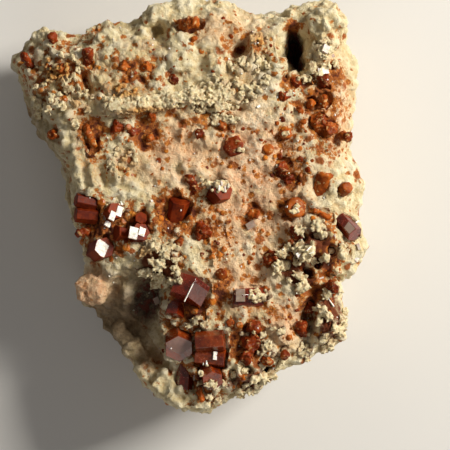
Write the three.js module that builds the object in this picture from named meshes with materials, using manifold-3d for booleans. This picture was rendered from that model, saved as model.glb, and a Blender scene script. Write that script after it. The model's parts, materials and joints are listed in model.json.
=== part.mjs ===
// Vanadinite on matrix: a hand specimen of pale knobbly rock with red-brown hexagonal crystals on its
// upper face. Millimetres, +Z up. The specimen lies on its flat broken back with the crystals upwards.
import * as THREE from 'three';
import { mergeVertices } from 'three/addons/utils/BufferGeometryUtils.js';
import Module from 'manifold-3d';

const wasm = await Module();
wasm.setup();

// ---- driving dimensions ----

const PLATEAU_HEIGHT = 18.0; // upper face above the broken back, before its bumps and hollows
const MIDDLE = new THREE.Vector2(1.6, -0.2); // every ring of the matrix is drawn round this point
const RIM_STEPS = 88; // corners round the rim
const FACE_RINGS = 10; // rings from the middle of the upper face out to the rim
const EDGE_START = 0.8; // share of the way to the rim where the upper face begins to round over
const EDGE_DROP = 3.4; // how far it has dropped at the rim
const ROUGHNESS = 0.32; // height of the small waves on the upper face and the sides
const SOCKET_GAP = 0.3; // clearance between a crystal and the socket it sits in

// The side wall and the broken back, from the rim down: share of the rim's radius, share of its height.
const SIDE_PROFILE = [[1.0, 0.74], [0.975, 0.46], [0.93, 0.2], [0.87, 0], [0.45, 0], [0, 0]];

// Corners of the rim, clockwise from the tip of the left arm.
const RIM = [
  [-21.6, 18.3], [-20.0, 20.0], [-18.0, 22.2], [-16.0, 21.8], [-15.0, 21.2], [-12.9, 21.2],
  [-11.2, 22.6], [-7.0, 22.7], [-5.5, 23.4], [-3.0, 24.9], [0.2, 25.4], [3.6, 25.5],
  [6.2, 24.9], [7.2, 23.8], [9.4, 23.6], [11.2, 23.8], [12.8, 24.9], [14.3, 24.8],
  [16.6, 25.5], [18.7, 24.9], [19.5, 22.6], [19.2, 20.0], [20.4, 18.3], [20.8, 16.3],
  [20.4, 13.0], [20.1, 9.6], [19.9, 7.0], [21.2, 4.0], [21.65, 2.2], [20.7, -0.5],
  [21.4, -3.2], [21.75, -5.0], [20.8, -7.0], [19.2, -8.3], [18.3, -9.4], [19.1, -11.4],
  [19.1, -13.2], [19.3, -15.0], [17.4, -17.2], [15.2, -17.9], [13.6, -19.1], [11.4, -19.4],
  [10.4, -20.9], [8.3, -22.4], [6.0, -22.5], [4.4, -23.9], [2.0, -25.05], [0.3, -24.8],
  [-2.0, -23.8], [-4.6, -22.1], [-5.9, -20.0], [-7.5, -18.6], [-9.2, -16.1], [-11.0, -13.7],
  [-13.4, -11.2], [-12.3, -7.6], [-12.8, -4.4], [-13.6, -1.6], [-14.8, 1.0], [-14.9, 4.6],
  [-16.2, 7.0], [-18.2, 8.8], [-19.9, 11.4], [-20.6, 14.9], [-21.0, 17.2],
];

// Bumps (height above 0) and hollows (below 0) of the upper face: middle, spread along X and Y, height.
const RELIEF = [
  { at: [-12.0, -16.0], spread: [7.0, 7.5], height: -8.5 }, // lower left flank, falling away
  { at: [-5.5, -21.5], spread: [5.0, 5.0], height: -5.0 }, // foot of the flank
  { at: [-11.6, -10.2], spread: [2.0, 2.0], height: 2.6 }, // rounded boulder on the flank
  { at: [-22.0, 9.0], spread: [4.5, 7.5], height: -6.0 }, // slope below the left arm
  { at: [-18.0, 20.0], spread: [4.0, 3.0], height: -2.0 }, // tip of the left arm
  { at: [-4.0, 13.3], spread: [5.5, 1.0], height: 1.3 }, // knobbly ridge
  { at: [5.5, 15.5], spread: [3.6, 2.4], height: 1.0 }, // speckled swelling beside the ridge
  { at: [-3.2, 23.4], spread: [2.0, 1.4], height: 1.6 }, // boulders along the upper edge
  { at: [4.0, 23.0], spread: [3.0, 1.8], height: 0.8 },
  { at: [11.1, 16.9], spread: [1.4, 1.4], height: 1.1 },
  { at: [16.6, 22.4], spread: [2.2, 2.2], height: 1.4 },
  { at: [16.5, -4.5], spread: [3.0, 3.6], height: 1.5 }, // crusted right edge
  { at: [17.0, -13.5], spread: [1.8, 3.0], height: 1.2 },
  { at: [8.0, -3.0], spread: [4.0, 6.0], height: -1.1 }, // shallow smooth basin
  { at: [8.0, -20.0], spread: [3.6, 2.0], height: 0.9 }, // crusted lower edge
  { at: [-11.5, 4.5], spread: [2.4, 3.0], height: 1.0 }, // ribs of the left face
  { at: [13.3, 18.9], spread: [1.5, 2.5], height: -6.5 }, // deep pocket near the upper right corner
  { at: [-3.5, 21.6], spread: [1.0, 1.3], height: -2.6 }, // open hollow by the upper edge
  { at: [6.2, 18.8], spread: [1.0, 1.6], height: -1.8 },
  { at: [14.9, -13.6], spread: [0.9, 3.0], height: -2.4 }, // cleft at the lower right
];

// Each crystal is one prism, or several grown together. A prism has its middle in plan, how far its
// highest corner stands proud of the upper face, the heading and lift of its long axis in degrees (lift
// 90 is upright), the radius to its corners, its length, and its turn about its own axis.
function prism(at, proud, heading, lift, radius, length, turn) {
  return { at, proud, heading, lift, radius, length, turn };
}

const CRYSTALS = {
  crystal_grey_end: [prism([-0.95, -16.2], 1.5, -88, 62, 1.85, 2.9, 30)],
  crystal_bright_edge: [
    prism([0.3, -10.05], 2.1, -117, 20, 2.35, 2.7, 30),
    prism([-1.5, -12.1], 0.9, -98, 26, 1.3, 2.2, 12),
  ],
  crystal_lower_cluster: [
    prism([2.85, -15.95], 1.5, 5, 8, 1.3, 3.4, 0),
    prism([2.9, -17.9], 1.2, -6, 10, 1.15, 3.6, 12),
    prism([2.9, -20.0], 1.1, -70, 60, 1.35, 2.8, 15),
  ],
  crystal_deep_red: [prism([-0.3, -20.5], 0.6, -95, 14, 1.1, 3.2, 0)],
  crystal_lower_streak: [prism([1.6, -22.4], 0.55, -80, 12, 0.45, 2.0, 0)],
  crystal_grey_bar: [
    prism([8.3, -10.3], 1.3, 182, 28, 0.9, 4.6, 30),
    prism([7.5, -11.0], 0.7, 178, 14, 1.2, 4.2, 0),
  ],
  crystal_silver_top: [prism([3.8, 1.8], 1.4, 30, 60, 1.3, 2.8, 10)],
  crystal_radiating_middle: [
    prism([0.7, 3.1], 0.67, 120, 40, 0.7, 2.4, 0),
    prism([1.1, 2.2], 0.67, 200, 60, 0.7, 1.8, 20),
  ],
  crystal_big_dark: [prism([-1.1, -0.4], 0.9, 78, 30, 1.4, 3.6, 0)],
  crystal_centre_dark: [prism([1.75, -2.4], 0.8, -72, 34, 1.05, 2.8, 15)],
  crystal_centre_orange: [prism([-0.8, -4.0], 0.62, -120, 50, 0.6, 1.4, 0)],
  crystal_white_face: [
    prism([-6.0, -3.05], 1.2, 25, 62, 1.15, 2.6, 0),
    prism([-7.65, -3.1], 0.9, 168, 36, 1.0, 2.2, 20),
    prism([-5.6, -1.4], 0.9, 60, 70, 0.75, 2.0, 0),
  ],
  crystal_silver_left: [prism([-9.0, -0.5], 1.1, 25, 60, 1.05, 2.4, 10)],
  crystal_largest_glint: [prism([-10.5, -5.0], 1.3, 25, 62, 1.35, 3.0, 20)],
  crystal_left_pair: [
    prism([-12.1, -0.8], 0.9, 174, 16, 1.0, 2.6, 0),
    prism([-12.1, 0.8], 0.8, 168, 20, 0.85, 2.6, 15),
  ],
  crystal_left_small: [prism([-12.6, -2.9], 0.64, 190, 40, 0.65, 1.8, 0)],
  crystal_round_red: [prism([5.65, 7.3], 0.7, 100, 80, 1.4, 2.6, 0)],
  crystal_top_bar: [prism([0.2, 22.2], 0.71, 8, 20, 0.8, 2.6, 0)],
  crystal_top_small: [prism([0.7, 20.2], 0.55, 60, 50, 0.45, 1.3, 0)],
  crystal_right_cluster: [
    prism([15.9, 10.2], 0.82, 110, 56, 1.05, 2.3, 0),
    prism([17.0, 9.5], 0.78, 20, 60, 0.95, 2.0, 20),
  ],
  crystal_right_outer: [prism([19.15, 8.7], 0.67, -20, 52, 0.7, 1.6, 0)],
  crystal_right_bead_1: [prism([13.6, 11.8], 0.6, 90, 60, 0.55, 1.4, 0)],
  crystal_right_bead_2: [prism([14.9, 12.5], 0.57, 40, 60, 0.5, 1.4, 10)],
  crystal_right_bead_3: [prism([16.5, 12.8], 0.62, 80, 30, 0.6, 2.0, 0)],
  crystal_edge_orange: [prism([19.0, 2.3], 0.73, 30, 60, 0.85, 1.8, 0)],
  crystal_under_pocket: [
    prism([12.9, 14.6], 0.73, 60, 40, 0.85, 2.6, 0),
    prism([12.1, 13.7], 0.67, 200, 44, 0.7, 2.2, 0),
  ],
  crystal_corner_dark: [prism([16.4, 15.3], 0.71, 100, 50, 0.8, 1.8, 0)],
  crystal_ridge_end: [prism([-1.2, 15.2], 0.71, 150, 30, 0.8, 2.6, 0)],
  crystal_upper_left: [
    prism([-7.9, 9.5], 0.78, 160, 40, 0.95, 2.8, 0),
    prism([-6.6, 9.2], 0.71, 20, 50, 0.8, 1.8, 20),
  ],
  crystal_upper_left_bead: [prism([-4.5, 8.4], 0.62, 45, 60, 0.6, 1.4, 0)],
  crystal_upper_left_bar: [prism([-11.6, 8.7], 0.57, -65, 12, 0.5, 3.2, 0)],
  crystal_star: [prism([-4.2, 11.0], 0.6, 90, 70, 0.55, 1.4, 0)],
  crystal_fan: [
    prism([-7.0, 16.8], 0.69, 150, 30, 0.75, 2.8, 0),
    prism([-5.4, 16.7], 0.69, 20, 34, 0.75, 2.6, 0),
  ],
  crystal_arm_tip: [prism([-19.4, 17.9], 0.62, 130, 40, 0.6, 2.4, 0)],
  crystal_arm_top: [prism([-16.2, 20.6], 0.62, 100, 50, 0.6, 1.5, 0)],
  crystal_arm_ring: [prism([-14.9, 16.8], 0.76, 30, 70, 0.9, 1.8, 0)],
  crystal_arm_side: [prism([-12.0, 18.2], 0.69, 80, 40, 0.75, 2.4, 0)],
  crystal_left_edge: [prism([-16.0, 8.9], 0.67, 200, 50, 0.7, 1.5, 0)],
  crystal_right_brown: [prism([16.4, 3.0], 0.87, 78, 26, 1.15, 3.2, 0)],
  crystal_ring: [prism([13.0, 0.0], 0.98, 40, 72, 1.4, 2.4, 0)],
  crystal_right_bar: [prism([16.3, -0.6], 0.55, 160, 14, 0.45, 2.6, 0)],
  crystal_slanted_bar: [prism([19.4, -2.2], 0.82, -50, 34, 1.05, 3.0, 0)],
  crystal_below_ring: [prism([13.3, -3.3], 0.76, 95, 30, 0.9, 2.8, 0)],
  crystal_basin_block: [prism([10.3, -6.2], 0.84, 130, 56, 1.1, 2.3, 0)],
  crystal_edge_low: [prism([17.5, -9.4], 0.67, -40, 50, 0.7, 1.6, 0)],
  crystal_cleft_upper: [prism([14.9, -12.0], 0.69, 30, 50, 0.75, 1.8, 0)],
  crystal_cleft_lower: [prism([13.9, -14.5], 0.69, 100, 40, 0.75, 2.4, 0)],
  crystal_low_group: [
    prism([7.9, -14.4], 0.76, 60, 60, 0.9, 2.0, 0),
    prism([7.6, -16.0], 0.87, -30, 62, 1.15, 2.3, 20),
    prism([7.2, -17.6], 0.73, -110, 54, 0.85, 2.0, 0),
  ],
  crystal_low_bead_1: [prism([5.4, -13.9], 0.64, 120, 60, 0.65, 1.5, 0)],
  crystal_low_bead_2: [prism([9.6, -18.4], 0.62, 20, 60, 0.6, 1.5, 0)],
  crystal_low_bead_3: [prism([11.8, -17.6], 0.62, 60, 60, 0.6, 1.5, 0)],
  crystal_above_bar: [prism([4.3, -8.0], 0.71, 130, 50, 0.8, 1.8, 0)],
  crystal_basin_pair: [
    prism([8.1, -0.9], 0.69, 100, 60, 0.75, 1.6, 0),
    prism([7.7, -2.0], 0.67, -60, 60, 0.7, 1.6, 0),
  ],
  crystal_right_glint: [
    prism([11.3, 4.7], 0.71, 40, 50, 0.8, 1.8, 0),
    prism([12.0, 3.6], 0.67, -30, 50, 0.7, 1.6, 0),
  ],
  crystal_soft_brown: [prism([9.7, 7.0], 0.71, 80, 70, 0.8, 1.6, 0)],
  crystal_bead_ring: [prism([11.9, 8.9], 0.71, 60, 74, 0.8, 1.6, 0)],
  crystal_under_patch_1: [prism([1.6, 8.9], 0.64, 90, 60, 0.65, 1.5, 0)],
  crystal_under_patch_2: [prism([4.3, 9.9], 0.67, 90, 60, 0.7, 1.5, 0)],
};

// ---- the upper face ----

function smallWaves(x, y, z) {
  return Math.sin(1.3 * x + 0.9 * z + 0.4) * Math.cos(1.1 * y - 0.7 * z + 1.2);
}

function faceHeight(x, y) {
  let height = PLATEAU_HEIGHT + ROUGHNESS * smallWaves(x, y, 0);
  for (const { at, spread, height: rise } of RELIEF) {
    const across = (x - at[0]) / spread[0];
    const along = (y - at[1]) / spread[1];
    height += rise * Math.exp(-(across * across + along * along));
  }
  return height;
}

// The rim as evenly spaced corners on a smooth closed curve through its points.
function rimCorners() {
  const points = RIM.map(([x, y]) => new THREE.Vector3(x, y, 0));
  const curve = new THREE.CatmullRomCurve3(points, true, 'centripetal');
  return curve.getSpacedPoints(RIM_STEPS).map((point) => new THREE.Vector2(point.x, point.y));
}

// ---- the matrix ----

// A round lathe blank of the right rings, whose corners are then moved onto the rock's own surface.
function matrixBlank() {
  const profile = [];
  for (let ring = 0; ring <= FACE_RINGS; ring += 1) {
    profile.push(new THREE.Vector2(ring / FACE_RINGS, 1));
  }
  for (const [radius, height] of SIDE_PROFILE) {
    profile.push(new THREE.Vector2(radius, height));
  }
  return { blank: new THREE.LatheGeometry(profile, RIM_STEPS), rings: profile.length };
}

function edgeDrop(radius) {
  const past = Math.max(0, (radius - EDGE_START) / (1 - EDGE_START));
  return EDGE_DROP * past * past;
}

function matrixGeometry() {
  const { blank, rings } = matrixBlank();
  const corners = rimCorners();
  const positions = blank.attributes.position;
  const point = new THREE.Vector3();
  for (let index = 0; index < positions.count; index += 1) {
    point.fromBufferAttribute(positions, index);
    const radius = Math.hypot(point.x, point.z);
    const share = point.y;
    const corner = corners[Math.floor(index / rings) % RIM_STEPS];
    const x = THREE.MathUtils.lerp(MIDDLE.x, corner.x, radius);
    const y = THREE.MathUtils.lerp(MIDDLE.y, corner.y, radius);
    if (share === 1) {
      positions.setXYZ(index, x, y, faceHeight(x, y) - edgeDrop(radius));
    } else {
      const z = share * (faceHeight(corner.x, corner.y) - EDGE_DROP);
      const wave = share > 0 ? ROUGHNESS * (smallWaves(x, y, z) - 1) : 0;
      const inwards = 1 + wave / corner.distanceTo(MIDDLE);
      const wavyX = THREE.MathUtils.lerp(MIDDLE.x, x, inwards);
      const wavyY = THREE.MathUtils.lerp(MIDDLE.y, y, inwards);
      positions.setXYZ(index, wavyX, wavyY, z);
    }
  }
  return blank;
}

// ---- solids ----

function toSolid(geometry) {
  const bare = geometry.clone();
  bare.deleteAttribute('normal');
  bare.deleteAttribute('uv');
  const merged = mergeVertices(bare, 1e-4);
  return new wasm.Manifold(new wasm.Mesh({
    numProp: 3,
    vertProperties: new Float32Array(merged.attributes.position.array),
    triVerts: new Uint32Array(merged.index.array),
  }));
}

function toGeometry(solid) {
  const mesh = solid.getMesh();
  const geometry = new THREE.BufferGeometry();
  geometry.setAttribute('position', new THREE.BufferAttribute(mesh.vertProperties, 3));
  geometry.setIndex(new THREE.BufferAttribute(mesh.triVerts, 1));
  geometry.computeVertexNormals();
  return geometry;
}

// One six-sided prism in its place, enlarged all round by the margin.
function prismSolid({ at, proud, heading, lift, radius, length, turn }, margin) {
  const slope = THREE.MathUtils.degToRad(lift);
  const middleToTop = (length / 2) * Math.sin(slope) + radius * Math.cos(slope);
  const geometry = new THREE.CylinderGeometry(radius + margin, radius + margin, length + 2 * margin, 6);
  geometry.rotateY(THREE.MathUtils.degToRad(turn));
  geometry.rotateZ(slope - Math.PI / 2);
  geometry.rotateX(Math.PI / 2);
  geometry.rotateZ(THREE.MathUtils.degToRad(heading));
  geometry.translate(at[0], at[1], faceHeight(at[0], at[1]) + proud - middleToTop);
  return toSolid(geometry);
}

function crystalSolid(prisms, margin = 0) {
  const solids = prisms.map((each) => prismSolid(each, margin));
  return solids.reduce((joined, next) => joined.add(next));
}

// ---- the specimen ----

function rockMaterial() {
  return new THREE.MeshStandardMaterial({ color: 0xdcb98e, roughness: 0.9, metalness: 0 });
}

function crystalMaterial() {
  return new THREE.MeshStandardMaterial({ color: 0x7a1f0c, roughness: 0.15, metalness: 0 });
}

function makeMesh(name, solid, material) {
  const mesh = new THREE.Mesh(toGeometry(solid), material);
  mesh.name = name;
  return mesh;
}

const specimen = new THREE.Group();
let rock = toSolid(matrixGeometry());
for (const prisms of Object.values(CRYSTALS)) {
  rock = rock.subtract(crystalSolid(prisms, SOCKET_GAP));
}
specimen.add(makeMesh('matrix', rock, rockMaterial()));
for (const [name, prisms] of Object.entries(CRYSTALS)) {
  specimen.add(makeMesh(name, crystalSolid(prisms), crystalMaterial()));
}

// The origin is the middle of the specimen's footprint, on the surface that it rests on.
const box = new THREE.Box3().setFromObject(specimen);
const centre = box.getCenter(new THREE.Vector3());
specimen.position.set(-centre.x, -centre.y, -box.min.z);

export default specimen;
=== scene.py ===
"""Vanadinite on matrix: a hand specimen of knobbly cream and peach rock with red-brown hexagonal crystals.

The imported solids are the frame. The rock is a sculpted copy of its solid with clay lumps and ledge blocks
added. The crystals are bevelled or weathered copies of theirs. The small crystals, the granular crust and the
bright plates are joined meshes laid on the rock.
"""

import json
import math
import random

import bmesh
import bpy
from mathutils import Matrix, Vector, noise
from mathutils.bvhtree import BVHTree

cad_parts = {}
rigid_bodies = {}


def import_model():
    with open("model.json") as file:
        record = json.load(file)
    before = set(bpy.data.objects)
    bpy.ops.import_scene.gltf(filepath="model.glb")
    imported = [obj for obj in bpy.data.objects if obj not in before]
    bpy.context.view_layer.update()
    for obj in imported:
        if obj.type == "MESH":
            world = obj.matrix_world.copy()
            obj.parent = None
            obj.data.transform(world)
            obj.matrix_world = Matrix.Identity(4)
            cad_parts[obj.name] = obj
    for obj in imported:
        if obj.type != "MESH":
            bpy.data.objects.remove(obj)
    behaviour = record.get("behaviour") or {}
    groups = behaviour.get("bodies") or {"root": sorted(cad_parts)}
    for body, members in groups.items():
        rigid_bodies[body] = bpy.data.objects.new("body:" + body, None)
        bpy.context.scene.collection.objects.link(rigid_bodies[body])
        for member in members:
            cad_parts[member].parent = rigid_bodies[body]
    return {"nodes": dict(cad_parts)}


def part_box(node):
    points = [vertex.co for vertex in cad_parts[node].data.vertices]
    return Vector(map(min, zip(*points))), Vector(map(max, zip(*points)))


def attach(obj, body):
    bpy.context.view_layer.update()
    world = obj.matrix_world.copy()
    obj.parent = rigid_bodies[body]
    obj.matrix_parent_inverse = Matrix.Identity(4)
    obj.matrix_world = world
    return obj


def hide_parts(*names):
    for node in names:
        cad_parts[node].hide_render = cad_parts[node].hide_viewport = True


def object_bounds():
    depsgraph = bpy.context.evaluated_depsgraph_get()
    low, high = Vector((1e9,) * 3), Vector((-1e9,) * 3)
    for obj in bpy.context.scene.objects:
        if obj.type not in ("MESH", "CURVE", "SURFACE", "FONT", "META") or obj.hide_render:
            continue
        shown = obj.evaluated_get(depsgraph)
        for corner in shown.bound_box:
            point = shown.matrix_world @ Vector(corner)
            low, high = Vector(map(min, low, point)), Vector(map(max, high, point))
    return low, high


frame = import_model()
CAD_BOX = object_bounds()
noise.seed_set(3)  # vector noise differs from run to run without a seed

# ---- measures, in metres ----

MM = 0.001
PLAN_ZERO = Vector((-0.08, -0.24)) * MM  # where the plan's own zero lies in the frame
FACE_HEIGHT = 18.0 * MM  # usual height of the crystal face
VOXEL = 0.19 * MM  # fineness of the rock's surface
SIDE_SHARE = 0.46  # share of the rock's triangles that is kept once its sides and back are thinned
FACE_FROM = 9 * MM  # height where the sides begin to turn into the crystal face
FACE_FULL = 13.5 * MM  # height from which all the rock counts as crystal face
SOCKET_FILL = 0.55 * MM  # how far a crystal is swollen to close its socket
SOCKET_MARGIN = 0.6 * MM  # how far outside a crystal the rock's level is felt for
CRYSTAL_EDGE = 0.06 * MM  # width of a clean crystal's edges
WORN_EDGE = 0.28 * MM  # width of a weathered crystal's edges
WEATHER_VOXEL = 0.12 * MM  # fineness of a weathered crystal's surface
GENTLE_WEAR = 0.4  # how strongly the gently worn crystals are weathered, where the others have 1
CRUST_VOXEL = 0.1 * MM  # fineness of the crust
LEDGE_DEPTH = 3.2 * MM  # half the height of a ledge block
PLATE_DEPTH = 0.12 * MM  # half the thickness of a bright plate
END_DEPTH = 0.4 * MM  # half the height of a crystal end with a painted reflection on top
PLUMB_HEIGHT = 60 * MM  # where every plumb line starts
DOWN = Vector((0, 0, -1))

LOW, HIGH = CAD_BOX
TOP = HIGH.z + 0.3 * MM  # no part of the rock or the crust stands higher
MIDDLE = (LOW + HIGH) / 2
DARKEST_DEPTH = 3.8  # depth in millimetres at which a hollow's rock is painted wholly dark as shade
COARSE_STAR = 0.45  # crust with stars of this size in millimetres or more has the rock between them painted dark brown, partly its own colour and partly painted shade
STARS_PER_AREA = 0.56  # stars of one square millimetre each that a square millimetre of full crust holds
UPPER_CRUST = 0.4 * MM  # usual thickness of the crust on the half beyond the middle
LOWER_CRUST = 0.85 * MM  # usual thickness of the crust on the near half
SPARKS = 90  # tiny bright plates scattered over the face
SMALL_SHARES = [0.12, 0.6, 0.28]  # shares of the small crystals that are umber, orange and rusty
GLINT_NORMAL = Vector((0.425, 0.199, 0.883))  # leans half-way towards the key light

# Crust fields on the crystal face: middle and half-widths in plan millimetres, turn in degrees, thickness
# 0 to 1 and the usual size of one star of crust in millimetres.
CRUST_FIELDS = [
    ((-7.4, 13.0), (2.4, 1.6), 0, 0.7, 0.3),
    ((2.6, 13.2), (2.6, 1.4), 0, 1.0, 0.42),
    ((6.2, 15.0), (3.8, 2.4), 25, 0.8, 0.3),
    ((4.0, 10.9), (2.2, 0.8), 0, 0.7, 0.3),
    ((-3.3, -6.7), (2.3, 2.5), 30, 1.0, 0.5),
    ((-1.6, -5.0), (1.3, 0.9), -30, 0.6, 0.35),
    ((-5.0, -4.8), (1.0, 0.8), 0, 0.6, 0.35),
    ((15.8, -4.6), (2.4, 3.2), 20, 0.8, 0.56),
    ((12.8, -7.2), (1.8, 2.6), 30, 0.9, 0.58),
    ((17.2, -13.2), (1.8, 3.6), 0, 0.75, 0.48),
    ((15.4, -16.6), (2.4, 1.4), 15, 0.6, 0.36),
    ((7.7, -20.6), (3.6, 1.6), 12, 0.75, 0.5),
    ((10.6, -16.6), (2.0, 2.4), 0, 0.35, 0.36),
    ((1.5, -13.7), (1.2, 1.1), 0, 0.8, 0.34),
    ((3.2, -21.8), (1.4, 1.6), 0, 0.7, 0.4),
    ((16.4, 18.0), (1.8, 2.2), 0, 0.8, 0.36),
    ((14.6, 16.2), (1.6, 0.8), 30, 0.7, 0.34),
    ((-15.4, 17.0), (2.4, 1.8), 0, 0.5, 0.26),
    ((-13.6, 12.6), (2.6, 3.2), 0, 0.35, 0.4),
    ((-17.2, 13.0), (1.8, 1.8), 0, 0.4, 0.44),
    ((8.4, 19.2), (1.2, 1.8), -20, 0.6, 0.3),
    ((-7.6, 5.6), (1.6, 1.8), 0, 0.4, 0.28),
    ((-8.2, -0.2), (1.4, 0.6), 0, 0.5, 0.28),
]
# Crust that has grown over crystals, listed the same way.
OVERGROWTH = [
    ((8.7, -10.4), (1.3, 0.8), 0, 1.1, 0.18),
    ((6.5, 6.9), (0.5, 0.35), 30, 1.0, 0.2),
    ((13.0, 0.1), (0.75, 0.55), 0, 0.9, 0.24),
    ((2.7, -20.6), (1.3, 1.0), 0, 0.5, 0.28),
    ((1.8, -18.9), (1.0, 0.4), 0, 0.4, 0.22),
    ((11.9, 8.8), (0.35, 0.35), 0, 1.0, 0.24),
    ((7.2, -14.6), (1.0, 0.8), 20, 0.5, 0.26),
    ((-14.9, 16.8), (0.6, 0.6), 0, 0.7, 0.22),
    ((2.2, 2.9), (1.0, 0.7), 0, 0.5, 0.2),
    ((13.3, -4.4), (0.9, 0.6), 0, 0.6, 0.3),
    ((17.0, -2.6), (1.2, 0.8), 0, 0.6, 0.36),
    ((-0.9, -9.0), (0.9, 0.3), 20, 0.6, 0.24),
    ((3.9, 2.7), (1.4, 0.8), 0, 0.9, 0.19),
]
# The knobbly ridge: the line its knobs follow.
RIDGE = [(-9.8, 12.2), (-6.6, 12.6), (-3.2, 12.8), (0.0, 13.2), (2.2, 13.8)]
# Fields of colour: middle, half-widths, turn and strength. First the peach patches of the body.
PEACH_FIELDS = [
    ((8.2, 3.0), (6.5, 9.5), 0, 1.0),
    ((-1.0, 6.2), (4.2, 4.6), 0, 0.9),
    ((5.4, 21.6), (4.2, 2.2), 0, 0.6),
    ((12.0, -13.6), (2.4, 3.2), 0, 0.9),
    ((17.0, 12.4), (3.0, 6.0), 0, 0.8),
    ((6.6, -8.6), (4.0, 4.0), 0, 0.8),
    ((-11.4, -10.0), (2.6, 2.6), 0, 1.3),
    ((-4.4, -18.2), (1.6, 1.6), 0, 0.6),
]
# Golden patches, on the rock and on the crust.
OCHRE_FIELDS = [
    ((-7.4, 14.2), (3.6, 1.1), 0, 1.0),
    ((-4.6, 11.6), (4.8, 0.7), 3, 0.8),
    ((-15.0, 16.8), (1.6, 1.4), 0, 1.1),
    ((-15.6, 16.8), (2.4, 2.0), 0, 0.9),
    ((8.4, 20.0), (1.7, 2.2), -20, 0.8),
    ((-12.4, 12.2), (2.8, 2.2), 0, 0.6),
    ((-12.0, 6.4), (1.2, 3.6), 20, 0.7),
    ((-7.2, 5.4), (1.8, 2.2), 0, 0.7),
    ((6.4, 15.4), (3.0, 1.6), 25, 0.6),
    ((-2.8, -2.2), (2.6, 3.0), 40, 0.6),
    ((-6.2, -4.6), (3.0, 1.2), -20, 0.7),
    ((8.0, -12.2), (2.4, 0.8), 0, 0.8),
    ((-8.0, 17.4), (3.0, 1.0), 20, 0.6),
    ((-5.0, 19.4), (3.4, 1.2), -10, 0.5),
    ((17.6, -15.4), (1.8, 1.8), 0, 0.5),
]
# The dull brown painted on the falling flanks: partly their own colour, partly painted shade.
FLANK_BROWN_AND_SHADE_FIELDS = [
    ((-8.2, -13.2), (4.2, 5.6), 35, 1.1),
    ((-6.4, -8.6), (2.4, 2.0), 0, 0.8),
    ((-18.6, 8.0), (2.6, 7.0), 25, 0.8),
]
# Orange-brown staining between the lumps.
STAIN_FIELDS = [
    ((-9.0, -2.0), (4.6, 4.2), 0, 1.2),
    ((-1.6, -0.8), (3.2, 3.4), 0, 1.35),
    ((-0.6, -12.4), (3.2, 3.0), 0, 1.2),
    ((2.0, -19.8), (3.2, 3.6), 0, 1.1),
    ((7.6, -16.2), (2.6, 3.2), 0, 1.15),
    ((4.4, -9.8), (1.6, 2.4), 0, 1.05),
    ((14.6, -9.8), (1.6, 3.6), 0, 1.2),
    ((-7.0, 9.2), (2.6, 1.6), 0, 1.15),
    ((-4.4, 15.6), (2.6, 1.2), 0, 1.0),
    ((16.2, 10.2), (2.4, 2.0), 0, 1.15),
    ((16.4, 10.6), (3.6, 6.0), 0, 0.9),
    ((-5.8, 9.6), (3.4, 2.4), 0, 0.9),
    ((-5.8, 16.8), (2.6, 1.6), 10, 1.0),
    ((-16.0, 16.4), (4.6, 5.0), 0, 0.9),
    ((-11.4, 9.0), (2.0, 3.0), 20, 0.9),
    ((0.8, -0.6), (4.0, 4.0), 0, 0.8),
    ((-7.6, -2.4), (5.4, 3.4), -10, 1.0),
    ((-2.4, -5.2), (3.4, 2.0), -35, 0.9),
    ((3.4, -4.6), (1.6, 4.4), 0, 0.5),
    ((7.8, -12.6), (5.0, 1.6), 0, 0.65),
    ((7.6, -16.6), (3.0, 3.2), 0, 0.9),
    ((15.4, -5.6), (4.6, 5.2), 0, 0.9),
    ((16.0, -12.4), (3.0, 5.0), 0, 0.9),
    ((3.2, -20.8), (2.4, 3.2), 0, 0.9),
    ((7.6, 19.6), (2.6, 3.0), -20, 0.7),
    ((3.2, 10.4), (3.4, 1.6), 0, 0.9),
    ((13.0, 0.0), (2.4, 1.8), 0, 0.9),
    ((12.6, 4.6), (3.0, 2.6), 0, 0.7),
    ((12.8, 7.0), (5.4, 6.0), 0, 0.5),
    ((6.0, -4.0), (4.0, 5.0), 0, 0.4),
    ((14.4, 15.4), (2.6, 1.4), 20, 0.9),
    ((0.4, 21.6), (2.0, 1.8), 0, 0.7),
    ((8.4, -3.4), (3.0, 5.0), 0, 0.5),
    ((-10.6, 20.6), (4.6, 1.8), 0, 0.5),
    ((12.6, 22.0), (1.3, 1.1), -20, 1.25),
    ((12.2, 15.4), (1.3, 1.7), 20, 1.15),
    ((18.0, 16.2), (1.5, 2.4), 0, 0.8),
]
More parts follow.
